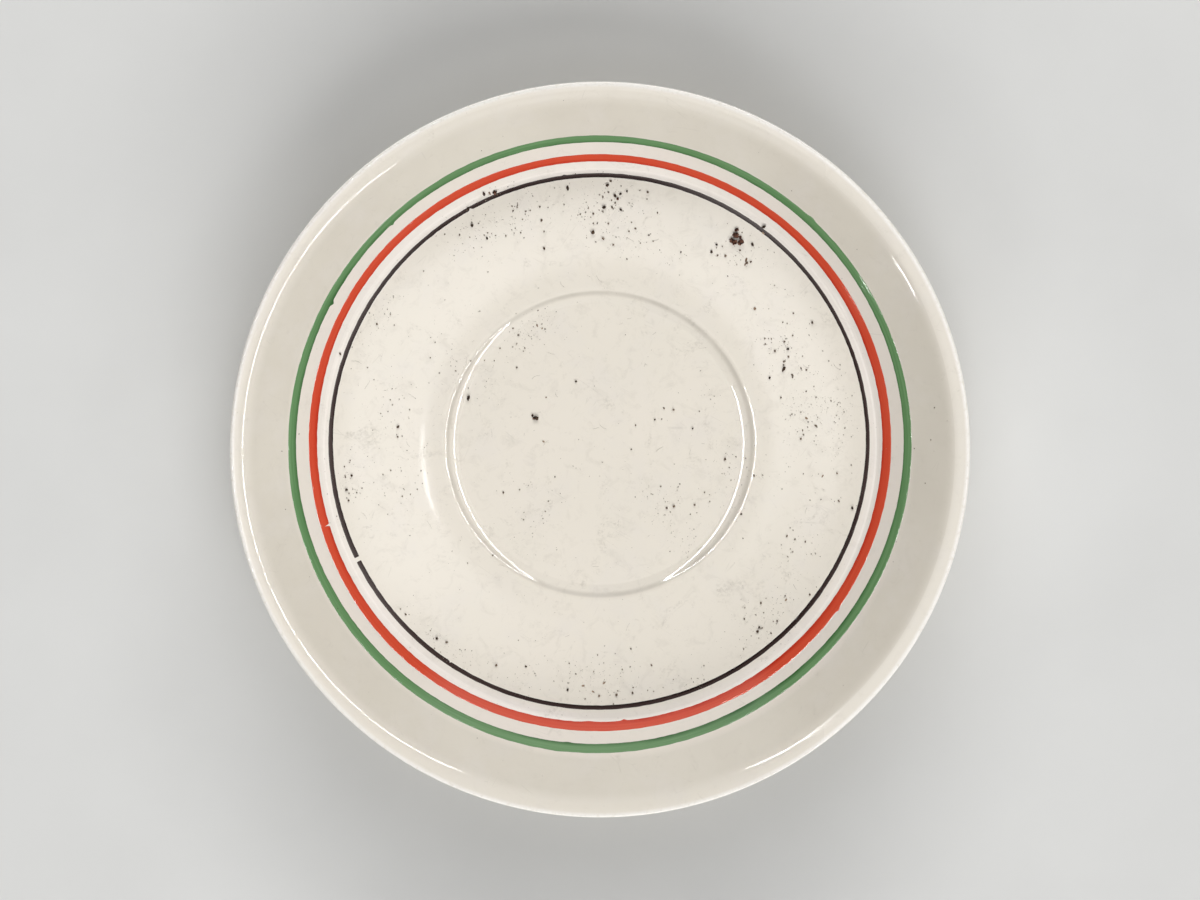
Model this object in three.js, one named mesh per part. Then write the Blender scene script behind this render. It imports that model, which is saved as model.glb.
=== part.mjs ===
// A small round saucer of cream glazed earthenware, thrown about the Z axis.
// Millimetres, +Z up. Its foot ring stands on z = 0, centred on the origin.
//
// The section is two broken lines, the eating side and the underside. Each run of a line climbs at
// its own slope out to a radius, and the corner it ends in is rounded before the next run starts.

import * as THREE from 'three';

// Overall
const RIM_RADIUS = 75;
const RIM_EDGE_HEIGHT = 2.35; // of the nearly upright edge of the rim, before rounding

// Eating side: cup well, step, gently rising verge, conical wall and out-turned lip
const WELL_HEIGHT = 6;
const WELL_RADIUS = 28.9;
const STEP_FOOT_RADIUS = 30.04;
const STEP_RADIUS = 31.33;
const STEP_BROW_RADIUS = 31.96;
const INNER_VERGE_RADIUS = 36.5;
const MIDDLE_VERGE_RADIUS = 50.5;
const WALL_RADIUS = 56.3;
const LIP_RADIUS = 72.3;

const STEP_FOOT_SLOPE = 12;
const STEP_SLOPE = 26;
const STEP_BROW_SLOPE = 10;
const INNER_VERGE_SLOPE = 1.5;
const MIDDLE_VERGE_SLOPE = 5.2;
const OUTER_VERGE_SLOPE = 8.5;
const WALL_SLOPE = 30.5;
const LIP_SLOPE = 5;

// Underside: recess, foot ring, shallow underside and the back of the wall
const FLOOR_THICKNESS = 4;
const RECESS_RADIUS = 38.6;
const FOOT_INNER_RADIUS = 40;
const FOOT_OUTER_RADIUS = 43.2;
const FOOT_SHOULDER_RADIUS = 44.6;
const UNDERSIDE_RADIUS = 57;

const FOOT_SHOULDER_HEIGHT = 4;
const UNDERSIDE_SLOPE = 6.5;

// Radii that round the corners
const STEP_ROOT_ROUND = 0.9;
const STEP_FOOT_ROUND = 7;
const STEP_BROW_ROUND = 3.9;
const STEP_EDGE_ROUND = 1;
const INNER_VERGE_ROUND = 110;
const OUTER_VERGE_ROUND = 100;
const WALL_ROUND = 1;
const LIP_ROUND = 6.5;
const RIM_TOP_ROUND = 0.6;
const RIM_BACK_ROUND = 1.25;
const BACK_ROUND = 34;
const FOOT_ROOT_ROUND = 1.3;
const FOOT_EDGE_ROUND = 0.7;

// Facets
const SEGMENTS_AROUND = 72;
const DEGREES_PER_ARC_STEP = 14;
const MIN_ARC_STEPS = 2;

function slopeBetween(innerRadius, innerHeight, outerRadius, outerHeight) {
  const rise = outerHeight - innerHeight;
  return THREE.MathUtils.radToDeg(Math.atan2(rise, outerRadius - innerRadius));
}

// Corners { point, round } of a line that starts on the axis and climbs outwards run by run.
function climb(startHeight, runs) {
  const corners = [{ point: new THREE.Vector2(0, startHeight), round: 0 }];
  for (const { to, slope, round } of runs) {
    const last = corners.at(-1).point;
    const rise = (to - last.x) * Math.tan(THREE.MathUtils.degToRad(slope));
    corners.push({ point: new THREE.Vector2(to, last.y + rise), round });
  }
  return corners;
}

// The points of the arc that rounds the corner between two neighbouring points.
function arcAtCorner(before, corner, after) {
  const back = before.clone().sub(corner.point).normalize();
  const forward = after.clone().sub(corner.point).normalize();
  const halfAngle = Math.acos(THREE.MathUtils.clamp(back.dot(forward), -1, 1)) / 2;
  const turn = Math.PI - 2 * halfAngle;
  const centre = back.clone().add(forward).setLength(corner.round / Math.sin(halfAngle)).add(corner.point);
  const start = back.multiplyScalar(corner.round / Math.tan(halfAngle)).add(corner.point).sub(centre);
  const end = forward.multiplyScalar(corner.round / Math.tan(halfAngle)).add(corner.point).sub(centre);
  const sweep = Math.sign(start.cross(end)) * turn;
  const steps = Math.max(MIN_ARC_STEPS, Math.ceil(THREE.MathUtils.radToDeg(turn) / DEGREES_PER_ARC_STEP));
  const points = [];
  for (let step = 0; step <= steps; step += 1) {
    points.push(start.clone().rotateAround(new THREE.Vector2(), (sweep * step) / steps).add(centre));
  }
  return points;
}

function roundedOutline(corners) {
  const points = [corners[0].point];
  for (let i = 1; i < corners.length - 1; i += 1) {
    points.push(...arcAtCorner(corners[i - 1].point, corners[i], corners[i + 1].point));
  }
  points.push(corners.at(-1).point);
  return points;
}

function eatingSide() {
  return climb(WELL_HEIGHT, [
    { to: WELL_RADIUS, slope: 0, round: STEP_ROOT_ROUND },
    { to: STEP_FOOT_RADIUS, slope: STEP_FOOT_SLOPE, round: STEP_FOOT_ROUND },
    { to: STEP_RADIUS, slope: STEP_SLOPE, round: STEP_BROW_ROUND },
    { to: STEP_BROW_RADIUS, slope: STEP_BROW_SLOPE, round: STEP_EDGE_ROUND },
    { to: INNER_VERGE_RADIUS, slope: INNER_VERGE_SLOPE, round: INNER_VERGE_ROUND },
    { to: MIDDLE_VERGE_RADIUS, slope: MIDDLE_VERGE_SLOPE, round: OUTER_VERGE_ROUND },
    { to: WALL_RADIUS, slope: OUTER_VERGE_SLOPE, round: WALL_ROUND },
    { to: LIP_RADIUS, slope: WALL_SLOPE, round: LIP_ROUND },
    { to: RIM_RADIUS, slope: LIP_SLOPE, round: RIM_TOP_ROUND },
  ]);
}

// The last run is the back of the wall, which ends at the foot of the rim's edge.
function underside(rimBackHeight) {
  const recessHeight = WELL_HEIGHT - FLOOR_THICKNESS;
  const recessSlope = slopeBetween(RECESS_RADIUS, recessHeight, FOOT_INNER_RADIUS, 0);
  const shoulderSlope = slopeBetween(FOOT_OUTER_RADIUS, 0, FOOT_SHOULDER_RADIUS, FOOT_SHOULDER_HEIGHT);
  const undersideRise = Math.tan(THREE.MathUtils.degToRad(UNDERSIDE_SLOPE));
  const undersideEnd = FOOT_SHOULDER_HEIGHT + (UNDERSIDE_RADIUS - FOOT_SHOULDER_RADIUS) * undersideRise;
  const backSlope = slopeBetween(UNDERSIDE_RADIUS, undersideEnd, RIM_RADIUS, rimBackHeight);
  return climb(recessHeight, [
    { to: RECESS_RADIUS, slope: 0, round: FOOT_ROOT_ROUND },
    { to: FOOT_INNER_RADIUS, slope: recessSlope, round: FOOT_EDGE_ROUND },
    { to: FOOT_OUTER_RADIUS, slope: 0, round: FOOT_EDGE_ROUND },
    { to: FOOT_SHOULDER_RADIUS, slope: shoulderSlope, round: FOOT_ROOT_ROUND },
    { to: UNDERSIDE_RADIUS, slope: UNDERSIDE_SLOPE, round: BACK_ROUND },
    { to: RIM_RADIUS, slope: backSlope, round: RIM_BACK_ROUND },
  ]);
}

function saucerGeometry() {
  const top = eatingSide();
  const bottom = underside(top.at(-1).point.y - RIM_EDGE_HEIGHT);
  const outline = roundedOutline([...bottom, ...top.reverse()]);
  const geometry = new THREE.LatheGeometry(outline, SEGMENTS_AROUND);
  geometry.rotateX(Math.PI / 2); // LatheGeometry turns about Y
  return geometry;
}

const glaze = new THREE.MeshStandardMaterial({ color: 0xe6dfd3, roughness: 0.16, metalness: 0 });

const saucer = new THREE.Mesh(saucerGeometry(), glaze);
saucer.name = 'saucer';

const part = new THREE.Group();
part.name = 'dirty_saucer';
part.add(saucer);

export default part;
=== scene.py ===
# A dirty saucer: cream glaze, three hand-painted bands, and the crumbs, grounds and dust left on it.
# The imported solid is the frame. A finer shell of the same section replaces it.
from dataclasses import dataclass, field
import math
import random

import bmesh
import bpy
import numpy as np
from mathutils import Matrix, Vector, noise


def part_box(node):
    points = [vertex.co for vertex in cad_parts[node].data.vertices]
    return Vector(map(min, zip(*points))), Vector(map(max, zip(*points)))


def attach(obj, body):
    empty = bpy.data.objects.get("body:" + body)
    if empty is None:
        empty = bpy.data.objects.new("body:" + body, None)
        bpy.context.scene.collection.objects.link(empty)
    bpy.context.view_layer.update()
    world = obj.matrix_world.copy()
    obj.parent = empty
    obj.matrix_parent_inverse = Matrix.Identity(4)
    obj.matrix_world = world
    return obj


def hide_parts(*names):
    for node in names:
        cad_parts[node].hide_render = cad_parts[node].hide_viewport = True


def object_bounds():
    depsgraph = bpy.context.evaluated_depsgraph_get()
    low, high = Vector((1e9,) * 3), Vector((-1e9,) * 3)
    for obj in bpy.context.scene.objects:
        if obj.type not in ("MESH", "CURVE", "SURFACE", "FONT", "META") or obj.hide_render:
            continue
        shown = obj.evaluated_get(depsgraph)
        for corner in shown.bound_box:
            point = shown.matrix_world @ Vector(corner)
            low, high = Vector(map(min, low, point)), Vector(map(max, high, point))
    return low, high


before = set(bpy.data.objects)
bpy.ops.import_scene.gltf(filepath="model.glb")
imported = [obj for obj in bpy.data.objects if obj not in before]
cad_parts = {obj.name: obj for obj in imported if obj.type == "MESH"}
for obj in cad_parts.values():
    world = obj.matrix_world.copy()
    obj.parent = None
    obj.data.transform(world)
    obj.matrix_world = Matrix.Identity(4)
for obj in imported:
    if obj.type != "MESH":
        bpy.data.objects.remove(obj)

CAD_LOW, CAD_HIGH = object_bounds()

# Sizes are in design millimetres unless said otherwise. MM is one of them in metres, by the frame.
RIM_RADIUS = 75.0
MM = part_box("saucer")[1].x / RIM_RADIUS

# ---------------------------------------------------------------- section

RIM_EDGE_HEIGHT = 2.35
WELL_HEIGHT = 6.0
FLOOR_THICKNESS = 4.0
FOOT_INNER_RADIUS = 40.0
FOOT_OUTER_RADIUS = 43.2
FOOT_SHOULDER_HEIGHT = 4.0

# Runs of the section: out to this radius, at this slope in degrees, rounded there by this radius
EATING_SIDE = [
    (28.9, 0.0, 0.9),  # cup well
    (30.04, 12.0, 7.0),  # foot of the step
    (31.33, 26.0, 3.9),  # step
    (31.96, 10.0, 1.0),  # brow of the step
    (36.5, 1.5, 110.0),  # verge, steeper by degrees
    (50.5, 5.2, 100.0),
    (56.3, 8.5, 1.0),
    (72.3, 30.5, 6.5),  # wall
    (RIM_RADIUS, 5.0, 0.6),  # lip
]
RECESS_RADIUS = 38.6
FOOT_SHOULDER_RADIUS = 44.6
UNDERSIDE_RADIUS = 57.0
UNDERSIDE_SLOPE = 6.5
FOOT_ROOT_ROUND = 1.3
FOOT_EDGE_ROUND = 0.7
BACK_ROUND = 34.0
RIM_BACK_ROUND = 1.25

CHORD_ERROR = 0.002
MIN_ARC_STEPS = 3
LONGEST_RUN_STEP = 1.1
SEGMENTS_AROUND = 384


def climb(start_height, runs):
    """Corners (radius, height, rounding) of a line that starts on the axis and climbs outwards."""
    corners = [(0.0, start_height, 0.0)]
    for radius, slope, rounding in runs:
        last_radius, last_height, _ = corners[-1]
        rise = (radius - last_radius) * math.tan(math.radians(slope))
        corners.append((radius, last_height + rise, rounding))
    return corners


def slope_between(inner, outer):
    return math.degrees(math.atan2(outer[1] - inner[1], outer[0] - inner[0]))


def underside(rim_back_height):
    recess = (RECESS_RADIUS, WELL_HEIGHT - FLOOR_THICKNESS)
    shoulder = (FOOT_SHOULDER_RADIUS, FOOT_SHOULDER_HEIGHT)
    rise = (UNDERSIDE_RADIUS - FOOT_SHOULDER_RADIUS) * math.tan(math.radians(UNDERSIDE_SLOPE))
    turn = (UNDERSIDE_RADIUS, FOOT_SHOULDER_HEIGHT + rise)
    foot_inner = (FOOT_INNER_RADIUS, 0.0)
    foot_outer = (FOOT_OUTER_RADIUS, 0.0)
    rim_back = (RIM_RADIUS, rim_back_height)
    return climb(recess[1], [
        (RECESS_RADIUS, 0.0, FOOT_ROOT_ROUND),
        (FOOT_INNER_RADIUS, slope_between(recess, foot_inner), FOOT_EDGE_ROUND),
        (FOOT_OUTER_RADIUS, 0.0, FOOT_EDGE_ROUND),
        (FOOT_SHOULDER_RADIUS, slope_between(foot_outer, shoulder), FOOT_ROOT_ROUND),
        (UNDERSIDE_RADIUS, UNDERSIDE_SLOPE, BACK_ROUND),
        (RIM_RADIUS, slope_between(turn, rim_back), RIM_BACK_ROUND),
    ])


def arc_at_corner(before, corner, after):
    """Points of the arc that rounds a corner, close enough together to keep CHORD_ERROR."""
    point = Vector(corner[:2])
    rounding = corner[2]
    back = (Vector(before[:2]) - point).normalized()
    forward = (Vector(after[:2]) - point).normalized()
    half = back.angle(forward) / 2
    turn = math.pi - 2 * half
    centre = point + (back + forward).normalized() * (rounding / math.sin(half))
    start = point + back * (rounding / math.tan(half)) - centre
    end = point + forward * (rounding / math.tan(half)) - centre
    way = math.copysign(1.0, start.x * end.y - start.y * end.x)
    steps = max(MIN_ARC_STEPS, math.ceil(turn / (2 * math.acos(1 - CHORD_ERROR / rounding))))
    angles = [way * turn * step / steps for step in range(steps + 1)]
    return [
        (centre.x + start.x * math.cos(a) - start.y * math.sin(a),
         centre.y + start.x * math.sin(a) + start.y * math.cos(a))
        for a in angles
    ]


def rounded_outline(corners):
    """The whole outline from axis to axis, with long runs cut into short steps."""
    rough = [corners[0][:2]]
    for before, corner, after in zip(corners, corners[1:], corners[2:]):
        rough += arc_at_corner(before, corner, after)
    rough.append(corners[-1][:2])
    outline = [rough[0]]
    for a, b in zip(rough, rough[1:]):
        length = math.dist(a, b)
        if length < CHORD_ERROR:
            continue
        parts = max(1, math.ceil(length / LONGEST_RUN_STEP))
        outline += [(a[0] + (b[0] - a[0]) * k / parts, a[1] + (b[1] - a[1]) * k / parts)
                    for k in range(1, parts + 1)]
    return outline


TOP_CORNERS = climb(WELL_HEIGHT, EATING_SIDE)
BOTTOM_CORNERS = underside(TOP_CORNERS[-1][1] - RIM_EDGE_HEIGHT)
OUTLINE = rounded_outline(BOTTOM_CORNERS + TOP_CORNERS[::-1])
RIM_INDEX = max(range(len(OUTLINE)), key=lambda i: (OUTLINE[i][0], OUTLINE[i][1]))
TOP_HALF = OUTLINE[:RIM_INDEX:-1]
TOP_RADII = np.array([p[0] for p in TOP_HALF])
TOP_HEIGHTS = np.array([p[1] for p in TOP_HALF])

WAVE_LENGTH = 26.0
WAVE_HEIGHT = 0.035
WAVE_SEED = 3.7
WAVE_FADE = 2.0  # the wave dies out over this much of the rim
NORMAL_STEP = 0.15


def wave(x, y):
    """The slight unevenness of the fired glaze at a place on the saucer."""
    return WAVE_HEIGHT * noise.noise(Vector((x / WAVE_LENGTH, y / WAVE_LENGTH, WAVE_SEED)))


def glaze_height(x, y):
    return float(np.interp(math.hypot(x, y), TOP_RADII, TOP_HEIGHTS)) + wave(x, y)


def glaze_normal(x, y):
    step = NORMAL_STEP
    dx = (glaze_height(x + step, y) - glaze_height(x - step, y)) / (2 * step)
    dy = (glaze_height(x, y + step) - glaze_height(x, y - step)) / (2 * step)
    return Vector((-dx, -dy, 1.0)).normalized()


# ---------------------------------------------------------------- meshes

def new_piece(name, vertices, faces, material, slot):
    """A smooth mesh object, riding on the one body."""
    mesh = bpy.data.meshes.new(name)
    mesh.from_pydata([tuple(c * MM for c in v) for v in vertices], [], faces)
    mesh.validate()
    mesh.polygons.foreach_set("use_smooth", [True] * len(mesh.polygons))
    mesh.materials.append(material)
    mesh.update()
    piece = bpy.data.objects.new(name, mesh)
    bpy.context.scene.collection.objects.link(piece)
    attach(piece, "root")
    return piece


def lathe_faces(rings, around, first, last):
    """Quads between rings of vertices, and fans to the single vertices first and last."""
    faces = []
    for ring in range(rings - 1):
        a, b = ring * around, (ring + 1) * around
        for k in range(around):
            n = (k + 1) % around
            faces.append((a + k, a + n, b + n, b + k))
    top = (rings - 1) * around
    for k in range(around):
        n = (k + 1) % around
        faces.append((first, n, k))
        faces.append((last, top + k, top + n))
    return faces


def make_saucer(material):
    rings = OUTLINE[1:-1]
    vertices = []
    for index, (radius, height) in enumerate(rings, start=1):
        lift = 1.0 if index > RIM_INDEX else 0.0
        for k in range(SEGMENTS_AROUND):
            angle = 2 * math.pi * k / SEGMENTS_AROUND
            x, y = radius * math.cos(angle), radius * math.sin(angle)
            fade = lift * min(1.0, (RIM_RADIUS - radius) / WAVE_FADE)
            vertices.append((x, y, height + fade * wave(x, y)))
    first = len(vertices)
    vertices.append((0.0, 0.0, OUTLINE[0][1]))
    vertices.append((0.0, 0.0, OUTLINE[-1][1] + wave(0.0, 0.0)))
    faces = lathe_faces(len(rings), SEGMENTS_AROUND, first, first + 1)
    piece = new_piece("glazed_saucer", vertices, faces, material, "glaze")
    add_disc_maps(piece, rings)
    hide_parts("saucer")


DISC_RADIUS = 0.288
DISC_MARGIN = 0.004


def add_disc_maps(piece, rings):
    """A texture map of two discs, eating side and underside, true to length along the section."""
    lengths = [0.0]
    for a, b in zip(OUTLINE, OUTLINE[1:]):
        lengths.append(lengths[-1] + math.dist(a, b))
    whole, seam = lengths[-1], lengths[RIM_INDEX]
    reach = max(seam, whole - seam)
    corner = DISC_RADIUS + DISC_MARGIN
    ring_vertices = len(rings) * SEGMENTS_AROUND
    layer = piece.data.uv_layers.new(name="OFBake")
    for polygon in piece.data.polygons:
        spans = []
        for vertex in polygon.vertices:
            if vertex < ring_vertices:
                spans.append(vertex // SEGMENTS_AROUND + 1)
            else:
                spans.append(0 if vertex == ring_vertices else len(OUTLINE) - 1)
        under = max(spans) <= RIM_INDEX
        centre = corner if under else 1 - corner
        for loop, vertex, span in zip(polygon.loop_indices, polygon.vertices, spans):
            co = piece.data.vertices[vertex].co
            along = lengths[span] if under else whole - lengths[span]
            flat = math.hypot(co.x, co.y)
            scale = DISC_RADIUS * along / reach / flat if flat > 1e-9 else 0.0
            side = -1.0 if under else 1.0
            layer.data[loop].uv = (centre + side * co.x * scale, centre + co.y * scale)


# ---------------------------------------------------------------- materials

def srgb(red, green, blue):
    """Linear colour from 0-255 display values."""
    def linear(c):
        c /= 255
        return c / 12.92 if c <= 0.04045 else ((c + 0.055) / 1.055) ** 2.4
    return (linear(red), linear(green), linear(blue), 1.0)


class Nodes:
    """A node tree, with short ways to add nodes to it."""

    def __init__(self, tree, place):
        self.tree = tree
        self.place = self.add("TexCoord").outputs[place]

    def put(self, socket, value):
        if isinstance(value, bpy.types.NodeSocket):
            self.tree.links.new(value, socket)
        else:
            socket.default_value = value

    def add(self, kind, inputs=None, **settings):
        node = self.tree.nodes.new("ShaderNode" + kind)
        for key, value in settings.items():
            setattr(node, key, value)
        for key, value in (inputs or {}).items():
            self.put(node.inputs[key], value)
        return node

    def math(self, operation, a, b=0.0, c=0.0):
        return self.add("Math", {0: a, 1: b, 2: c}, operation=operation).outputs[0]

    def ramp_between(self, value, low, high, to_low=0.0, to_high=1.0):
        """Straight from to_low to to_high as value goes from low to high, and level outside."""
        inputs = {"Value": value, "From Min": low, "From Max": high, "To Min": to_low, "To Max": to_high}
        return self.add("MapRange", inputs).outputs["Result"]

    def smooth_between(self, value, low, high, to_low=0.0, to_high=1.0):
        """The same, easing in and out."""
        inputs = {"Value": value, "From Min": low, "From Max": high, "To Min": to_low, "To Max": to_high}
        return self.add("MapRange", inputs, interpolation_type="SMOOTHSTEP").outputs["Result"]

    def times(self, *factors):
        product = factors[0]
        for factor in factors[1:]:
            product = self.math("MULTIPLY", product, factor)
        return product

    def ease(self, value, span, to_low=0.0, to_high=1.0):
        """smooth_between, with the span in design millimetres."""
        return self.smooth_between(value, span[0] * MM, span[1] * MM, to_low, to_high)

    def reach(self, value, span, to_low=0.0, to_high=1.0):
        """ramp_between, with the span in design millimetres."""
        return self.ramp_between(value, span[0] * MM, span[1] * MM, to_low, to_high)

    def noise(self, size_mm, detail=2.0, roughness=0.5, distortion=0.0):
        inputs = {
            "Vector": self.place,
            "Scale": 1.0 / (size_mm * MM),
            "Detail": detail,
            "Roughness": roughness,
            "Distortion": distortion,
        }
        return self.add("TexNoise", inputs).outputs["Fac"]

    def mix(self, factor, a, b):
        node = self.add("Mix", data_type="RGBA")
        self.put(node.inputs[0], factor)
        self.put(node.inputs[6], a)
        self.put(node.inputs[7], b)
        return node.outputs[2]

    def polar(self, centre=(0.0, 0.0)):
        """(distance in metres, unit direction, height) of the place about an upright line."""
        away = (-centre[0] * MM, -centre[1] * MM, 0.0)
        moved = self.add("VectorMath", {0: self.place, 1: away}, operation="ADD").outputs[0]
        split = self.add("SeparateXYZ", {0: moved})
        flat = self.add("CombineXYZ", {0: split.outputs[0], 1: split.outputs[1], 2: 0.0}).outputs[0]
        length = self.add("VectorMath", {0: flat}, operation="LENGTH").outputs["Value"]
        unit = self.add("VectorMath", {0: flat}, operation="NORMALIZE").outputs[0]
        return length, unit, split.outputs[2]

    def around(self, radius, unit, along, across_mm):
        """A noise place that runs round the axis: long along the ring, in radians, and short across it."""
        turned = self.add("VectorMath", {0: unit, "Scale": 1.0 / along}, operation="SCALE").outputs[0]
        across = self.math("DIVIDE", radius, across_mm * MM)
        lift = self.add("CombineXYZ", {0: 0.0, 1: 0.0, 2: across}).outputs[0]
        return self.add("VectorMath", {0: turned, 1: lift}, operation="ADD").outputs[0]


class Shader(Nodes):
    """A Principled material."""

    def __init__(self, name):
        self.material = bpy.data.materials.new(name)
        self.material.use_nodes = True
        super().__init__(self.material.node_tree, "Object")
        self.surface = self.tree.nodes["Principled BSDF"]

    def set(self, **values):
        for key, value in values.items():
            self.put(self.surface.inputs[key.replace("_", " ")], value)

    def bump(self, height, distance_mm):
        inputs = {"Height": height, "Distance": distance_mm * MM, "Strength": 1.0}
        self.set(Normal=self.add("Bump", inputs).outputs["Normal"])


PAINT_CENTRE = (-0.13, 0.68)  # the wheel stood this far off the axis as the bands went on
GLAZE_ROUGHNESS = 0.045
GLAZE_IOR = 1.5

# Where the glaze changes: spans of radius over which each change comes in or dies out
FLAT_OF_DISH_ENDS = (52.0, 60.0)
# The step round the cup well takes painted shade over these spans.
STEP_SHADE_STARTS, STEP_SHADE_ENDS = (30.1, 31.0), (31.1, 31.7)
BAND_ZONE_STARTS = (54.0, 55.5)
OUTER_BAND_ZONE_STARTS = (57.6, 59.0)
WALL_TONE_AND_SHADE_STARTS = (62.5, 64.0)
LIP_ZONE_STARTS = (69.8, 72.6)
RIM_HIGHLIGHT_STARTS = (73.9, 74.5)
DULL_LIP_STARTS = (71.5, 72.2)
DULL_LIP_SIDE = (38.0, 52.0)  # along +X
DULL_CREASE_STARTS, DULL_CREASE_ENDS = (55.8, 56.0), (56.6, 56.9)
BARE_FOOT_ENDS = (0.16, 0.32)  # heights
RIM_HIGHLIGHT_DEPTHS = (2.2, 1.2)  # below the top of the rim


def glaze_material():
    """Cream glaze with dust, stains and scuffs on it, painted shade on the step round the well, a painted
    highlight along the rim's edge, worn dull on one side of the lip, and bare under the foot.
    """
    s = Shader("cream_glaze")
    radius, _, height = s.polar()
    facing_up = s.add("SeparateXYZ", {0: s.add("TexCoord").outputs["Normal"]}).outputs[2]
    top_radius = s.times(radius, s.ramp_between(facing_up, 0.1, 0.5))  # nought on the underside
    film, stains = dust_masks(s, radius)
    scuffs = scuff_mask(s)
    bare = s.reach(height, BARE_FOOT_ENDS, 1.0, 0.0)

    colour = clouded(s, glaze_zones(s, top_radius))
    colour = s.mix(film, colour, srgb(184, 176, 163))
    colour = s.mix(stains, colour, srgb(176, 168, 155))
    # Painted shade: the step round the cup well is darkened.
    colour = s.mix(painted_step_shade_mask(s, top_radius), colour, srgb(172, 165, 153))
    colour = s.mix(spot_mask(s), colour, srgb(120, 104, 86))
    colour = s.mix(s.times(scuffs, 0.3), colour, srgb(170, 163, 150))
    # Painted highlight: the rim's edge is lightened.
    colour = s.mix(painted_rim_highlight_mask(s, radius, height), colour, srgb(241, 237, 231))
    s.set(Base_Color=s.mix(bare, colour, clay_colour(s)))

    smear = s.ramp_between(s.noise(12.0, 5.0, 0.6, distortion=1.2), 0.45, 0.8, 0.0, 0.03)
    rough = s.math("ADD", smear, GLAZE_ROUGHNESS)
    dull = dull_mask(s, radius)
    for mask, extra in ((scuffs, 0.25), (film, 0.35), (stains, 0.3), (bare, 0.7), (dull, 0.4)):
        rough = s.math("ADD", rough, s.times(mask, extra))
    s.set(Roughness=rough)
    s.surface.inputs["IOR"].default_value = GLAZE_IOR

    skin = s.noise(1.6, 2.0, 0.5)
    grit = s.times(s.noise(0.25, 3.0, 0.7), bare, 6.0)
    s.bump(s.math("ADD", skin, grit), 0.003)
    return s.material


def clouded(s, colour):
    """Clouds of warmer and cooler glaze over a colour."""
    warm = s.ramp_between(s.noise(24.0, 3.0, 0.55), 0.38, 0.66)
    colour = s.mix(s.times(warm, 0.35), colour, srgb(224, 218, 205))
    cool = s.ramp_between(s.noise(9.0, 4.0, 0.6), 0.5, 0.75)
    return s.mix(s.times(cool, 0.3), colour, srgb(222, 216, 210))


def dust_masks(s, radius):
    """A film of dry dust, and faint stains, both thickest on the flat of the dish."""
    flat_of_dish = s.reach(radius, FLAT_OF_DISH_ENDS, 1.0, 0.4)
    film = s.ramp_between(s.noise(3.2, 6.0, 0.72, distortion=0.6), 0.52, 0.8)
    stains = s.ramp_between(s.noise(6.5, 5.0, 0.66, distortion=1.5), 0.57, 0.7)
    broken = s.ramp_between(s.noise(0.55, 3.0, 0.6), 0.42, 0.62)
    return s.times(film, flat_of_dish, 0.34), s.times(stains, broken, flat_of_dish, 0.4)


def painted_step_shade_mask(s, radius):
    """Painted shade in patches along the step round the cup well, up to the foot of the verge."""
    patches = s.ramp_between(s.noise(8.0, 3.0, 0.6), 0.3, 0.7, 0.3, 0.5)
    return s.times(s.ease(radius, STEP_SHADE_STARTS), s.ease(radius, STEP_SHADE_ENDS, 1.0, 0.0), patches)


def spot_mask(s):
    """Tiny iron spots and pinholes under the glaze."""
    cells = s.add("TexVoronoi", {"Vector": s.place, "Scale": 1.0 / (2.6 * MM), "Randomness": 1.0})
    spots = s.ramp_between(cells.outputs["Distance"], 0.02, 0.075, 1.0, 0.0)
    rare = s.ramp_between(s.noise(1.7, 1.0), 0.52, 0.66)
    return s.times(spots, rare, 0.42)


def painted_rim_highlight_mask(s, radius, height):
    """Painted highlight: the rim's edge is lighter all round, broken up by noise."""
    edge = s.reach(radius, RIM_HIGHLIGHT_STARTS)
    broken_up = s.ramp_between(s.noise(0.9, 3.0, 0.7), 0.3, 0.5, 0.35, 1.0)
    upper = s.ramp_between(height, *(CAD_HIGH.z - depth * MM for depth in RIM_HIGHLIGHT_DEPTHS))
    return s.times(edge, broken_up, upper)


def clay_colour(s):
    """The bare clay that the foot ring stands on, rubbed grey."""
    tone = s.ramp_between(s.noise(0.7, 5.0, 0.7), 0.35, 0.7)
    return s.mix(tone, srgb(206, 190, 164), srgb(150, 138, 120))


def dull_mask(s, radius):
    """The lip has lost its shine on one side, and the crease at the foot of the wall all round."""
    sideways = s.add("SeparateXYZ", {0: s.place}).outputs[0]
    lip = s.times(s.ease(sideways, DULL_LIP_SIDE), s.reach(radius, DULL_LIP_STARTS))
    crease = s.times(s.reach(radius, DULL_CREASE_STARTS), s.reach(radius, DULL_CREASE_ENDS, 1.0, 0.0))
    return s.math("ADD", lip, crease)


def glaze_zones(s, radius):
    """The glaze is whitest between the bands and darkest on the wall, whose colour is partly its own tone
    and partly painted shade on the steeper slope.
    """
    cream = srgb(229, 222, 210)
    band_zone = srgb(237, 229, 221)
    outer_band_zone = srgb(227, 218, 208)
    # The wall's colour: partly the glaze's own tone, partly painted shade on the steep slope.
    wall_tone_and_shade = srgb(211, 204, 191)
    lip_zone = srgb(226, 219, 207)
    in_bands = s.reach(radius, BAND_ZONE_STARTS)
    in_outer_bands = s.reach(radius, OUTER_BAND_ZONE_STARTS)
    on_wall = s.reach(radius, WALL_TONE_AND_SHADE_STARTS)
    on_lip = s.ease(radius, LIP_ZONE_STARTS)
    colour = s.mix(in_bands, cream, band_zone)
    colour = s.mix(in_outer_bands, colour, outer_band_zone)
    colour = s.mix(on_wall, colour, wall_tone_and_shade)
    return s.mix(on_lip, colour, lip_zone)


SCUFF_WIDTH_SHARE = 0.12
SCUFF_DIRECTIONS = ((0.5, 17.0), (2.1, 23.0))  # turn in radians, and how far apart


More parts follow.
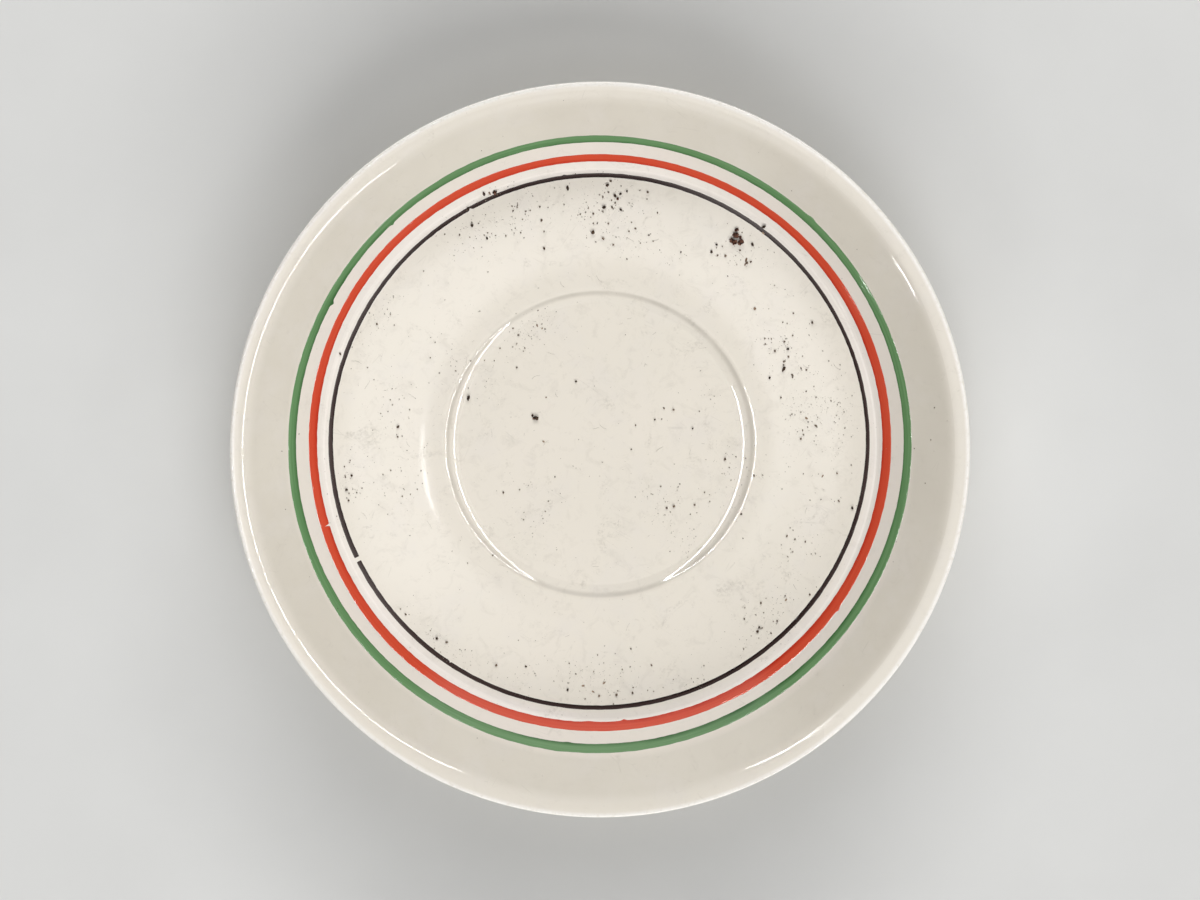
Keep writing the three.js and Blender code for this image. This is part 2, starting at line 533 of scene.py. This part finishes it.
def scuff_mask(s):
    """Thin broken scratches in two directions, 0 to 1."""
    masks = []
    for turn, cell in SCUFF_DIRECTIONS:
        spun = s.add("VectorRotate", {"Vector": s.place, "Angle": turn}, rotation_type="Z_AXIS").outputs[0]
        stretched = s.add("Mapping", {"Vector": spun, "Scale": (1.0, 0.09, 1.0)}).outputs[0]
        inputs = {"Vector": stretched, "Scale": 1.0 / (cell * SCUFF_WIDTH_SHARE * MM)}
        lines = s.add("TexVoronoi", inputs, feature="DISTANCE_TO_EDGE").outputs["Distance"]
        thin = s.ramp_between(lines, 0.0, 0.022, 1.0, 0.0)
        broken = s.ramp_between(s.noise(cell * 0.3, 3.0, 0.6), 0.6, 0.72)
        masks.append(s.math("MULTIPLY", thin, broken))
    return s.math("MAXIMUM", masks[0], masks[1])


STREAK_ALONG, STREAK_ACROSS = 0.28, 0.34  # radians round the ring, and millimetres
PAINT_ROUGHNESS_SPREAD = 0.02


def paint_material(band):
    """Brushed enamel under gloss: streaks along the ring, a deep inner edge and a paler outer side."""
    main_tone, pale, deep = (srgb(*tone) for tone in band.tones)
    s = Shader(band.name + "_paint")
    radius, unit, _ = s.polar(PAINT_CENTRE)
    streak_place = s.around(radius, unit, STREAK_ALONG, STREAK_ACROSS)
    streak_inputs = {"Vector": streak_place, "Scale": 1.0, "Detail": 3.0, "Roughness": 0.6}
    streaks = s.ramp_between(s.add("TexNoise", streak_inputs).outputs["Fac"], 0.36, 0.66)
    across = s.reach(radius, (band.radius - band.width / 2, band.radius + band.width / 2))
    pale_part = s.times(s.math("ADD", streaks, across), band.streaks)
    colour = s.mix(pale_part, main_tone, pale)
    edge = s.ramp_between(across, 0.0, 0.34, 1.0, 0.0)
    patchy = s.ramp_between(s.noise(7.0, 2.0), 0.35, 0.65, 0.35, 0.95)
    colour = s.mix(s.times(edge, patchy), colour, deep)
    thin_spots = s.ramp_between(s.noise(0.5, 2.0, 0.6), 0.62, 0.78, 0.0, 0.25)
    colour = s.mix(thin_spots, colour, pale)
    s.set(Base_Color=colour)
    roughest = GLAZE_ROUGHNESS + PAINT_ROUGHNESS_SPREAD
    s.set(Roughness=s.ramp_between(s.noise(3.0, 3.0), 0.3, 0.7, GLAZE_ROUGHNESS, roughest))
    s.surface.inputs["IOR"].default_value = GLAZE_IOR
    s.bump(streaks, 0.0015)
    return s.material


# Dirt: its darkest and lightest colour, the size of its pits, and how far a tone carries
DIRT_LOOKS = {
    "dark_crumb": ((42, 29, 20), (88, 68, 52), 0.12, 0.9),
    "coffee_ground": ((80, 66, 53), (136, 118, 100), 0.12, 0.9),
    "brown_crumb": ((44, 25, 18), (126, 82, 62), 0.16, 0.6),
    "tan_flake": ((120, 96, 76), (176, 152, 128), 0.12, 0.8),
    "grey_dust": ((116, 106, 94), (168, 158, 144), 0.1, 1.1),
    "grey_lint": ((120, 112, 102), (160, 152, 142), 0.1, 2.0),
}


def dirt_material(name):
    """Dry matt crumbs: each grain takes its own tone, and its surface is pitted."""
    dark, light, pit_size, tone_reach = DIRT_LOOKS[name]
    s = Shader(name)
    tone = s.ramp_between(s.noise(tone_reach, 2.0, 0.6), 0.4, 0.66)
    pits = s.noise(pit_size, 4.0, 0.7)
    colour = s.mix(tone, srgb(*dark), srgb(*light))
    colour = s.mix(s.ramp_between(pits, 0.35, 0.6, 0.45, 0.0), colour, srgb(*dark))
    s.set(Base_Color=colour)
    s.set(Roughness=s.ramp_between(pits, 0.3, 0.7, 0.95, 0.6))
    s.surface.inputs["Specular IOR Level"].default_value = 0.3
    s.bump(pits, pit_size * 0.4)
    return s.material


# ---------------------------------------------------------------- painted bands

PAINT_THICKNESS = 0.016
PAINT_SINK = 0.03
PAINT_ROOT = 2.5 * PAINT_SINK  # how deep the closed underside of the paint lies in the glaze
BEVEL_HEIGHT_SHARE = 0.6
BEVEL_STARTS = 0.9
BAND_STEPS = 1800
BAND_SECTION = [-1.0, -0.93, -0.72, -0.36, 0.0, 0.36, 0.72, 0.93, 1.0]
RAGGED_EDGE = 0.035
RAGGED_WIDTH = 0.05
DEGREES_PER_RADIAN = 57.3
NOISE_PEAK = 1.6  # brings the noise to about -1 to 1


@dataclass
class Band:
    """One brushed ring: where it runs, how wide it is, and where the brush slipped.

    Tones are the main one, the paler one of thin paint, and the deeper one along the inner edge.
    Sways are (waves round the ring, millimetres, degrees of a peak): of the middle of the ring, and
    of its width. Slips are (degrees, half width in degrees, millimetres): positive on the outer edge
    adds paint outwards, positive on the inner edge adds paint inwards. Gaps are (degrees, half
    width, share of the paint that is missing)."""

    name: str
    slot: str
    radius: float
    width: float
    seed: float
    tones: tuple
    streaks: float
    sway: list
    width_sway: list
    inner_slips: list = field(default_factory=list)
    outer_slips: list = field(default_factory=list)
    gaps: list = field(default_factory=list)


def bell(angle, centre, half_width):
    turn = (angle - centre + 180.0) % 360.0 - 180.0
    return math.exp(-(turn / half_width) ** 2)


def ragged(angle, size_degrees, seed):
    """Seamless noise round the ring, about -1 to 1, with features of this many degrees."""
    reach = DEGREES_PER_RADIAN / size_degrees
    turn = math.radians(angle)
    return NOISE_PEAK * noise.noise(Vector((reach * math.cos(turn), reach * math.sin(turn), seed)))


def swayed(angle, sways):
    return sum(height * math.cos(math.radians(waves * (angle - peak))) for waves, height, peak in sways)


def band_edges(band, angle):
    """Inner and outer radius of the paint, and how much of it is there."""
    middle = band.radius + swayed(angle, band.sway)
    half = (band.width + swayed(angle, band.width_sway)) / 2
    half *= 1 + RAGGED_WIDTH * ragged(angle, 17.0, band.seed)
    inner = middle - half + RAGGED_EDGE * ragged(angle, 1.4, band.seed + 5)
    outer = middle + half + RAGGED_EDGE * ragged(angle, 1.7, band.seed + 9)
    inner -= sum(size * bell(angle, at, wide) for at, wide, size in band.inner_slips)
    outer += sum(size * bell(angle, at, wide) for at, wide, size in band.outer_slips)
    paint = 1.0 - sum(share * bell(angle, at, wide) for at, wide, share in band.gaps)
    return inner, outer, max(0.0, paint)


def paint_profile(across):
    """Height of the paint over the glaze: level, rounded off at the sides, its border sunk in."""
    if abs(across) < BEVEL_STARTS:
        return PAINT_THICKNESS
    return BEVEL_HEIGHT_SHARE * PAINT_THICKNESS if abs(across) < 1 else -PAINT_SINK


def at(degrees, radius, centre=(0.0, 0.0)):
    turn = math.radians(degrees)
    return centre[0] + radius * math.cos(turn), centre[1] + radius * math.sin(turn)


def make_band(band):
    """A closed ring of paint, each cross section BAND_SECTION on top and one vertex in the glaze."""
    vertices = []
    row = len(BAND_SECTION) + 1
    for k in range(BAND_STEPS):
        angle = 360.0 * k / BAND_STEPS
        inner, outer, paint = band_edges(band, angle)
        middle, half = (inner + outer) / 2, (outer - inner) / 2
        for across in BAND_SECTION:
            x, y = at(angle, middle + half * across, PAINT_CENTRE)
            lift = paint_profile(across) * paint - PAINT_SINK * (1 - paint)
            vertices.append((x, y, glaze_height(x, y) + lift))
        x, y = at(angle, middle, PAINT_CENTRE)
        vertices.append((x, y, glaze_height(x, y) - PAINT_ROOT))
    faces = []
    for k in range(BAND_STEPS):
        a, b = k * row, (k + 1) % BAND_STEPS * row
        for i in range(row):
            j = (i + 1) % row
            faces.append((a + i, a + j, b + j, b + i))
    new_piece(band.name, vertices, faces, paint_material(band), band.slot)


BANDS = [
    Band("band_green", "green_paint", 62.37, 1.72, seed=11.0,
         tones=((86, 125, 79), (117, 154, 109), (52, 92, 50)), streaks=0.45,
         sway=[(1, 0.065, 270), (2, 0.14, 33), (3, 0.11, 113), (4, 0.04, 1)],
         width_sway=[(1, 0.175, 280)],
         inner_slips=[(152, 0.45, 0.42), (133, 0.35, 0.28), (264, 0.9, 0.12)],
         outer_slips=[(47, 0.8, 0.24), (262, 1.2, 0.1)]),
    Band("band_red", "red_paint", 58.31, 1.83, seed=31.0,
         tones=((201, 68, 45), (216, 96, 70), (178, 46, 28)), streaks=0.3,
         sway=[(1, 0.04, 223), (2, 0.075, 33), (3, 0.11, 118), (4, 0.06, 52), (5, 0.03, 12)],
         width_sway=[(1, 0.14, 299), (2, 0.05, 170), (4, 0.065, 33)],
         inner_slips=[(197, 0.14, -0.9), (275, 0.5, 0.3), (268, 1.6, 0.15), (20, 3.0, 0.1)],
         outer_slips=[(325, 0.5, 0.28), (300, 2.0, 0.1)]),
    Band("band_black", "black_paint", 54.51, 0.92, seed=51.0,
         tones=((43, 31, 29), (88, 74, 71), (30, 20, 19)), streaks=0.3,
         sway=[(1, 0.1, 180), (2, 0.1, 31), (3, 0.075, 113), (4, 0.037, 81)],
         width_sway=[(1, 0.05, 230), (3, 0.05, 80)],
         inner_slips=[(118.8, 0.28, -0.42), (236, 0.16, -0.3)],
         outer_slips=[(97.5, 0.3, 0.16)],
         gaps=[(206, 0.34, 1.9)]),
]


# ---------------------------------------------------------------- dirt

def ball(level):
    """Unit icosphere as (vertices, faces)."""
    mesh = bmesh.new()
    bmesh.ops.create_icosphere(mesh, subdivisions=level, radius=1.0)
    vertices = np.array([v.co[:] for v in mesh.verts])
    faces = [tuple(v.index for v in f.verts) for f in mesh.faces]
    mesh.free()
    return vertices, faces


BALLS = {level: ball(level) for level in (1, 2, 3, 4)}


def lump(level, rng, jaggedness):
    """A crumb of about unit half-length: longer than wide, flat below, broken all over."""
    vertices, faces = BALLS[level]
    shift = Vector((rng.uniform(-50, 50), rng.uniform(-50, 50), rng.uniform(-50, 50)))
    shape = []
    for v in vertices:
        p = Vector(v)
        coarse = noise.noise(p * 1.3 + shift)
        fine = noise.noise(p * 3.4 + shift) * 0.5 + noise.noise(p * 7.0 + shift) * 0.25
        shape.append(p * (1 + jaggedness * (coarse + fine)))
    return np.array([v[:] for v in shape]), faces


CRUMB_CENTRE = 0.42  # of a crumb's height: under a half, so that it touches all along


class Pile:
    """Many small closed solids gathered into one mesh."""

    def __init__(self):
        self.vertices = []
        self.faces = []

    def add(self, vertices, faces):
        start = len(self.vertices)
        self.vertices += [tuple(v) for v in vertices]
        self.faces += [tuple(start + i for i in face) for face in faces]

    def add_lump(self, rng, x, y, length, width, height, turn, level, jaggedness):
        """A crumb lying on the glaze at x, y. Sizes are whole sizes."""
        shape, faces = lump(level, rng, jaggedness)
        shape = shape * np.array((length / 2, width / 2, height / 2))
        cosine, sine = math.cos(turn), math.sin(turn)
        spin = np.array(((cosine, -sine, 0), (sine, cosine, 0), (0, 0, 1)))
        shape = shape @ spin.T
        up = glaze_normal(x, y)
        tilt = np.array(Vector((0, 0, 1)).rotation_difference(up).to_matrix())
        shape = shape @ tilt.T
        bed = glaze_height(x, y)
        centre = np.array((x, y, bed)) + np.array(up) * (height * CRUMB_CENTRE)
        self.add(shape + centre, faces)


# The crumbs that stand out: degrees round from +X, distance from the axis, length, width, tilt of
# the long side in degrees, all lying on the dish
DARK_CRUMBS = [
    (157.8, 14.0, 0.95, 0.7, 140), (157.0, 14.9, 0.5, 0.38, 100),
    (160.6, 28.4, 0.95, 0.55, 75),
    (89, 48.6, 0.72, 0.62, 20), (91.9, 43.5, 0.7, 0.62, 60), (97.1, 53.0, 0.9, 0.48, 95),
    (22.5, 40.4, 1.05, 0.5, 55), (53, 51.4, 0.7, 0.5, 130), (53.4, 55.7, 0.8, 0.5, 25),
    (60.2, 45.5, 0.52, 0.48, 0), (88.4, 53.2, 0.6, 0.48, 40), (85, 48.3, 0.56, 0.4, 160),
    (86.6, 51.1, 0.62, 0.5, 120), (85.4, 51.5, 0.5, 0.42, 30), (84.0, 52.2, 0.42, 0.34, 90),
    (120, 51.9, 0.66, 0.5, 60), (310, 49.9, 0.5, 0.46, 0), (311, 49.5, 0.42, 0.4, 60),
    (346, 52.9, 0.6, 0.42, 120), (190, 52.4, 0.5, 0.44, 30), (187, 50.9, 0.48, 0.42, 90),
    (230, 51.7, 0.46, 0.42, 0), (262.5, 50.6, 0.52, 0.42, 80), (333.6, 32.1, 0.42, 0.38, 0),
    (110.8, 13.7, 0.4, 0.36, 0), (316, 18.9, 0.42, 0.36, 30), (24, 12.2, 0.36, 0.3, 45),
    (9.5, 19.1, 0.34, 0.3, 0), (27.2, 42.9, 0.5, 0.4, 20), (30.2, 49.9, 0.5, 0.42, 110),
    (21.6, 37.1, 0.46, 0.38, 0), (105.8, 41.7, 0.52, 0.42, 150), (118.5, 48.1, 0.5, 0.38, 110),
    (119, 55.4, 0.5, 0.36, 40), (60, 47.3, 0.4, 0.36, 0),
]
BROWN_CRUMBS = [
    (56.9, 49.7, 1.25, 0.95, 150), (57.3, 51.0, 1.3, 0.9, 165), (55.5, 50.4, 1.15, 0.9, 40),
    (57.8, 52.1, 0.8, 0.55, 30), (56.2, 51.2, 0.6, 0.5, 80), (112.4, 55.9, 0.8, 0.6, 60),
    (114.6, 56.6, 0.75, 0.5, 110), (158.6, 14.4, 0.6, 0.4, 20), (85.9, 50.5, 0.5, 0.4, 70),
]
TAN_FLAKES = [
    (51.9, 48.1, 0.95, 0.34, 75), (51.4, 47.2, 0.5, 0.3, 60), (113.5, 56.2, 0.8, 0.25, 130),
    (52.7, 54.6, 0.75, 0.35, 140), (266, 49.5, 0.6, 0.3, 20), (271, 48.8, 0.62, 0.3, 35),
    (268.4, 50.6, 0.55, 0.25, 150), (352, 45.7, 0.6, 0.25, 60), (320.1, 49.4, 0.6, 0.3, 60),
    (41.5, 42.0, 0.6, 0.45, 100), (7.4, 42.3, 0.55, 0.35, 150), (117.8, 27.4, 0.55, 0.3, 110),
    (116.5, 26.4, 0.4, 0.25, 60), (177.6, 11.5, 0.5, 0.3, 150),
]

# Where loose dirt gathered: degrees, spread in degrees, radius, spread in mm, then how many
# grains, how many specks and how much dust
PATCHES = [
    (89, 6.0, 49.5, 3.0, 22, 34, 160), (87, 5.0, 42.5, 2.0, 5, 10, 40),
    (112, 6.5, 50.0, 3.0, 14, 34, 160), (124, 3.0, 50.5, 2.0, 4, 8, 40),
    (113, 2.5, 56.0, 0.7, 4, 6, 16), (124, 8.0, 27.3, 2.0, 7, 20, 90),
    (150, 5.0, 34.5, 3.0, 2, 8, 40), (150, 5.0, 51.5, 1.2, 3, 9, 50), (150, 6.0, 26.0, 2.0, 1, 6, 20),
    (170, 6.0, 42.0, 5.0, 3, 18, 70), (190, 6.0, 45.0, 6.0, 3, 24, 90), (188, 3.0, 51.5, 1.2, 4, 6, 20),
    (207, 5.0, 17.0, 3.0, 1, 4, 20), (232, 5.0, 52.0, 1.3, 3, 14, 60), (230, 6.0, 22.0, 5.0, 2, 12, 40),
    (250, 5.0, 50.0, 2.5, 3, 9, 40), (270, 6.0, 48.5, 2.8, 10, 20, 130), (290, 5.0, 52.0, 1.0, 0, 14, 30),
    (313, 6.0, 18.0, 3.5, 3, 12, 50), (310, 5.0, 26.0, 2.5, 1, 8, 30), (313, 5.0, 49.5, 2.5, 9, 20, 110),
    (331, 6.0, 47.0, 4.0, 5, 14, 60), (330, 6.0, 25.0, 6.0, 1, 9, 30),
    (350, 6.0, 26.5, 2.5, 3, 13, 50), (350, 6.0, 42.0, 7.0, 2, 9, 40),
    (9, 6.0, 45.5, 4.5, 12, 42, 260), (29, 6.0, 43.0, 3.4, 13, 22, 110), (28, 6.0, 22.0, 4.0, 3, 4, 20),
    (53, 4.0, 48.5, 3.0, 8, 14, 60), (72, 6.0, 42.0, 3.0, 3, 6, 30),
]
SCATTERED = (6, 36, 420)  # the same, all over the dish
SCATTER_REACH = 57.0
LOOSE_REACH = 60.0  # no loose dirt lies farther out than this

# Each kind of loose dirt: typical length, the longest, how flat it lies, jaggedness, and mesh level
LOOSE_KINDS = {
    "grain": (0.33, 0.54, 0.7, 0.55, 3),
    "speck": (0.22, 0.34, 0.55, 0.5, 2),
    "dust": (0.11, 0.21, 0.5, 0.4, 1),
}
LENGTH_SPREAD = 0.3
DIRT_SEED = 41


def spread_places(rng):
    """Yields (x, y, kind) for the loose dirt, patch by patch and then all over."""
    kinds = list(LOOSE_KINDS)
    for degrees, turn_spread, radius, reach, *counts in PATCHES:
        for kind, count in zip(kinds, counts):
            for _ in range(count):
                yield (*at(rng.gauss(degrees, turn_spread), abs(rng.gauss(radius, reach))), kind)
    for kind, count in zip(kinds, SCATTERED):
        for _ in range(count):
            yield (*at(rng.uniform(0, 360), SCATTER_REACH * math.sqrt(rng.random())), kind)


def add_loose(grains, dust, rng):
    """The grains go to one pile, and the specks and dust to the other."""
    for x, y, kind in spread_places(rng):
        if math.hypot(x, y) >= LOOSE_REACH:
            continue
        typical, longest, flatness, jaggedness, level = LOOSE_KINDS[kind]
        length = min(longest, rng.lognormvariate(math.log(typical), LENGTH_SPREAD))
        width = length * rng.uniform(0.55, 0.95)
        pile = grains if kind == "grain" else dust
        pile.add_lump(rng, x, y, length, width, width * flatness, rng.uniform(0, math.pi), level, jaggedness)


def add_listed(pile, rng, crumbs, level, height_share, jaggedness):
    for degrees, radius, length, width, tilt in crumbs:
        x, y = at(degrees, radius)
        height = height_share * width * rng.uniform(0.85, 1.15)
        pile.add_lump(rng, x, y, length, width, height, math.radians(tilt), level, jaggedness)


RIM_SPECKS = 16
RIM_SPECK_RADII = (61.0, 72.0)
RIM_SPECK_LENGTHS = (0.14, 0.3)


def add_rim_specks(grains, rng):
    """A few specks on the wall and lip."""
    for _ in range(RIM_SPECKS):
        x, y = at(rng.uniform(0, 360), rng.uniform(*RIM_SPECK_RADII))
        length = rng.uniform(*RIM_SPECK_LENGTHS)
        turn = rng.uniform(0, 3)
        grains.add_lump(rng, x, y, length, length * 0.7, length * 0.4, turn, level=2, jaggedness=0.5)


def make_dirt(materials):
    rng = random.Random(DIRT_SEED)
    dark, brown, tan, grains, dust = Pile(), Pile(), Pile(), Pile(), Pile()
    add_listed(dark, rng, DARK_CRUMBS, level=3, height_share=0.75, jaggedness=0.62)
    add_listed(brown, rng, BROWN_CRUMBS, level=4, height_share=0.72, jaggedness=0.85)
    add_listed(tan, rng, TAN_FLAKES, level=3, height_share=0.4, jaggedness=0.45)
    add_loose(grains, dust, rng)
    add_rim_specks(grains, rng)
    new_piece("dark_crumbs", dark.vertices, dark.faces, materials["dark_crumb"], "dark_crumb")
    new_piece("brown_crumbs", brown.vertices, brown.faces, materials["brown_crumb"], "brown_crumb")
    new_piece("tan_flakes", tan.vertices, tan.faces, materials["tan_flake"], "brown_crumb")
    new_piece("coffee_grounds", grains.vertices, grains.faces, materials["coffee_ground"], "dark_crumb")
    new_piece("fine_dust", dust.vertices, dust.faces, materials["grey_dust"], "dust")


FIBRES = 54
FIBRE_REACH = 53.0
FIBRE_LENGTHS = (0.5, 2.2)
FIBRE_BENDS = (-1.2, 1.2)  # radians from end to end
FIBRE_RADIUS = 0.016
FIBRE_TIP = 0.45  # of the radius
FIBRE_LIFT = 1.1  # radii from the glaze to the middle of the hair
FIBRE_STEPS = 9
FIBRE_SIDES = 5
FIBRE_SEED = 7


def make_fibres(material):
    """Short curved hairs of lint lying on the glaze."""
    rng = random.Random(FIBRE_SEED)
    pile = Pile()
    for _ in range(FIBRES):
        x, y = at(rng.uniform(0, 360), FIBRE_REACH * math.sqrt(rng.random()))
        length, bend = rng.uniform(*FIBRE_LENGTHS), rng.uniform(*FIBRE_BENDS)
        heading = rng.uniform(0, 2 * math.pi)
        line = []
        for _ in range(FIBRE_STEPS + 1):
            line.append((x, y))
            heading += bend / FIBRE_STEPS
            x += math.cos(heading) * length / FIBRE_STEPS
            y += math.sin(heading) * length / FIBRE_STEPS
        add_fibre(pile, line)
    new_piece("lint_fibres", pile.vertices, pile.faces, material, "dust")


def add_fibre(pile, line):
    """A thin tube along the line, with tapered, closed ends."""
    vertices = []
    last = len(line) - 1
    for index, (x, y) in enumerate(line):
        ahead, behind = line[min(index + 1, last)], line[max(index - 1, 0)]
        along = Vector((ahead[0] - behind[0], ahead[1] - behind[1], 0.0)).normalized()
        side = Vector((-along.y, along.x, 0.0))
        thin = FIBRE_RADIUS * (FIBRE_TIP if index in (0, last) else 1.0)
        centre = Vector((x, y, glaze_height(x, y) + FIBRE_RADIUS * FIBRE_LIFT))
        for k in range(FIBRE_SIDES):
            angle = 2 * math.pi * k / FIBRE_SIDES
            vertices.append(centre + side * math.cos(angle) * thin + Vector((0, 0, math.sin(angle) * thin)))
    faces = []
    for index in range(last):
        for k in range(FIBRE_SIDES):
            n = (k + 1) % FIBRE_SIDES
            a, b = index * FIBRE_SIDES, (index + 1) * FIBRE_SIDES
            faces.append((a + k, b + k, b + n, a + n))
    faces.append(tuple(range(FIBRE_SIDES)))
    faces.append(tuple(last * FIBRE_SIDES + k for k in reversed(range(FIBRE_SIDES))))
    pile.add(vertices, faces)


# ---------------------------------------------------------------- studio

CAMERA_DISTANCE = 2.5  # metres
CAMERA_TILT = 6.7  # degrees from straight above, leaning towards +Y
CAMERA_CLIPS = (0.01, 20.0)  # metres
SENSOR_WIDTH = 36.0
SAUCER_SHARE = 0.6173  # of the picture's width
AIM = (0.0, 0.25)  # off the axis, at the height of the rim
FLOOR_HALF = 3.0  # metres


def make_camera():
    target = Vector((AIM[0] * MM, AIM[1] * MM, CAD_HIGH.z))
    tilt = math.radians(CAMERA_TILT)
    data = bpy.data.cameras.new("camera")
    data.sensor_width = SENSOR_WIDTH
    data.lens = SAUCER_SHARE * SENSOR_WIDTH * CAMERA_DISTANCE / (CAD_HIGH.x - CAD_LOW.x)
    data.clip_start, data.clip_end = CAMERA_CLIPS
    camera = bpy.data.objects.new("camera", data)
    camera.location = target + Vector((0.0, math.sin(tilt), math.cos(tilt))) * CAMERA_DISTANCE
    camera.rotation_euler = (-tilt, 0.0, 0.0)
    bpy.context.scene.collection.objects.link(camera)
    bpy.context.scene.camera = camera


def make_floor():
    s = Shader("pale_floor")
    tone = s.ramp_between(s.noise(60.0, 4.0), 0.35, 0.65)
    s.set(Base_Color=s.mix(tone, srgb(206, 206, 204), srgb(211, 211, 209)), Roughness=0.7)
    mesh = bpy.data.meshes.new("floor")
    corners = [(x * FLOOR_HALF, y * FLOOR_HALF, 0) for x, y in ((-1, -1), (1, -1), (1, 1), (-1, 1))]
    mesh.from_pydata(corners, [], [(0, 1, 2, 3)])
    mesh.materials.append(s.material)
    floor = bpy.data.objects.new("floor", mesh)
    bpy.context.scene.collection.objects.link(floor)


CEILING = 4.0  # metres from the saucer to the lamps
WATTS_PER_RADIANCE = 4  # for each square metre of an area light

# Lamps: name, both ends and width in heights of the ceiling, and radiance. The thin tubes show as
# lines in the glaze, and the broad fills only shade it.
TUBES = [
    ("lamp_right", (0.76, -1.27), (0.47, 0.92), 0.023, 50.0),
    ("lamp_left", (-0.46, -0.32), (-0.46, 0.82), 0.023, 64.0),
    ("lamp_far", (-1.37, -0.9), (-1.38, -1.14), 0.09, 45.0),
]
FILLS = [
    ("fill_front", (0.35, -1.3), (0.35, -0.6), 0.9, 2.3),
    ("fill_front_low", (0.6, -2.8), (0.6, -1.6), 3.2, 9.2),
    ("fill_back", (0.1, 0.6), (0.1, 1.3), 0.9, 0.6),
    ("fill_back_low", (0.2, 1.8), (0.2, 3.1), 2.6, 10.6),
]


def ceiling_light(name, start, end, width, radiance):
    """A flat light on the ceiling, facing down."""
    (x0, y0), (x1, y1) = start, end
    data = bpy.data.lights.new(name, "AREA")
    data.shape = "RECTANGLE"
    data.size, data.size_y = width * CEILING, math.dist(start, end) * CEILING
    data.energy = radiance * WATTS_PER_RADIANCE * data.size * data.size_y
    light = bpy.data.objects.new(name, data)
    light.location = ((x0 + x1) / 2 * CEILING, (y0 + y1) / 2 * CEILING, CEILING)
    light.rotation_euler = (0.0, 0.0, math.atan2(x0 - x1, y1 - y0))
    bpy.context.scene.collection.objects.link(light)
    return light


def make_lights():
    for tube in TUBES:
        ceiling_light(*tube).visible_diffuse = False
    for fill in FILLS:
        ceiling_light(*fill).visible_glossy = False


# The studio, as seen on a ceiling one unit above the saucer: a soft light overhead with a dark round
# hole where the camera stands, two far soft lights in front and behind, a thin bright slit, and pale
# walls low down
BOX_X = (-0.2, 0.25)
BOX_Y = (-0.36, -0.02)
BOX_BLUR = (0.13, 0.14)
BOX_SKEW = -0.3
BOX_LIGHT = 1.9
HOLE_CENTRE = (0.0, -0.11)
HOLE_EDGE = (0.08, 0.2)
HOLE_SHAPE = (1.7, 1.0)
BACK_SPAN = (0.55, 2.4)
BACK_LIGHT = 0.8
FRONT_SPAN = (0.55, 1.2)
FRONT_LIGHT = 0.6
FAR_BLUR = 0.4
FAR_SIDE = (0.69, 1.0)
SLIT_X = (0.089, 0.097)
SLIT_Y = (-0.12, -0.082)
SLIT_BLUR = (0.005, 0.03)
SLIT_LIGHT = 20.0
WALL_LIGHT = 0.15
WALL_TOP = (0.09, 0.16)
LOWEST_RISE = 0.02  # below this the ceiling is taken to go on level
NEAREST_DEPTH = 0.3


def make_world():
    world = bpy.data.worlds.new("studio")
    world.use_nodes = True
    n = Nodes(world.node_tree, "Generated")
    split = n.add("SeparateXYZ", {0: n.place})
    rise = n.math("MAXIMUM", split.outputs["Z"], LOWEST_RISE)
    x, y = (n.math("DIVIDE", split.outputs[axis], rise) for axis in ("X", "Y"))

    def window(value, span, blur):
        low, high = span
        rising = n.smooth_between(value, low - blur / 2, low + blur / 2)
        return n.times(rising, n.smooth_between(value, high - blur / 2, high + blur / 2, 1.0, 0.0))

    def distance(centre, shape):
        away = (n.math("SUBTRACT", value, middle) for value, middle in zip((x, y), centre))
        away = (n.math("MULTIPLY", d, stretch) for d, stretch in zip(away, shape))
        return n.math("SQRT", n.math("ADD", *(n.math("MULTIPLY", d, d) for d in away)))

    hole = n.smooth_between(distance(HOLE_CENTRE, HOLE_SHAPE), *HOLE_EDGE)
    skewed = n.math("MULTIPLY_ADD", x, BOX_SKEW, y)
    box = n.times(window(x, BOX_X, BOX_BLUR[0]), window(skewed, BOX_Y, BOX_BLUR[1]), hole, BOX_LIGHT)
    slit = n.times(window(x, SLIT_X, SLIT_BLUR[0]), window(y, SLIT_Y, SLIT_BLUR[1]), SLIT_LIGHT)
    depth = n.math("MAXIMUM", n.math("ABSOLUTE", y), NEAREST_DEPTH)
    sideways = n.math("DIVIDE", n.math("ABSOLUTE", x), depth)
    ahead = n.smooth_between(sideways, *FAR_SIDE, 1.0, 0.0)
    back = n.times(window(y, BACK_SPAN, FAR_BLUR), ahead, BACK_LIGHT)
    front = n.times(window(n.math("MULTIPLY", y, -1.0), FRONT_SPAN, FAR_BLUR), ahead, FRONT_LIGHT)
    strength = n.ramp_between(split.outputs["Z"], *WALL_TOP, WALL_LIGHT, 0.0)
    for part in (box, slit, back, front):
        strength = n.math("ADD", strength, part)
    background = world.node_tree.nodes["Background"]
    background.inputs["Color"].default_value = (1.0, 1.0, 1.0, 1.0)
    n.put(background.inputs["Strength"], strength)
    bpy.context.scene.world = world


def main():
    make_camera()
    make_saucer(glaze_material())
    for band in BANDS:
        make_band(band)
    materials = {name: dirt_material(name) for name in DIRT_LOOKS}
    make_dirt(materials)
    make_fibres(materials["grey_lint"])
    make_floor()
    make_lights()
    make_world()
    bpy.context.scene.view_settings.view_transform = "Standard"


main()
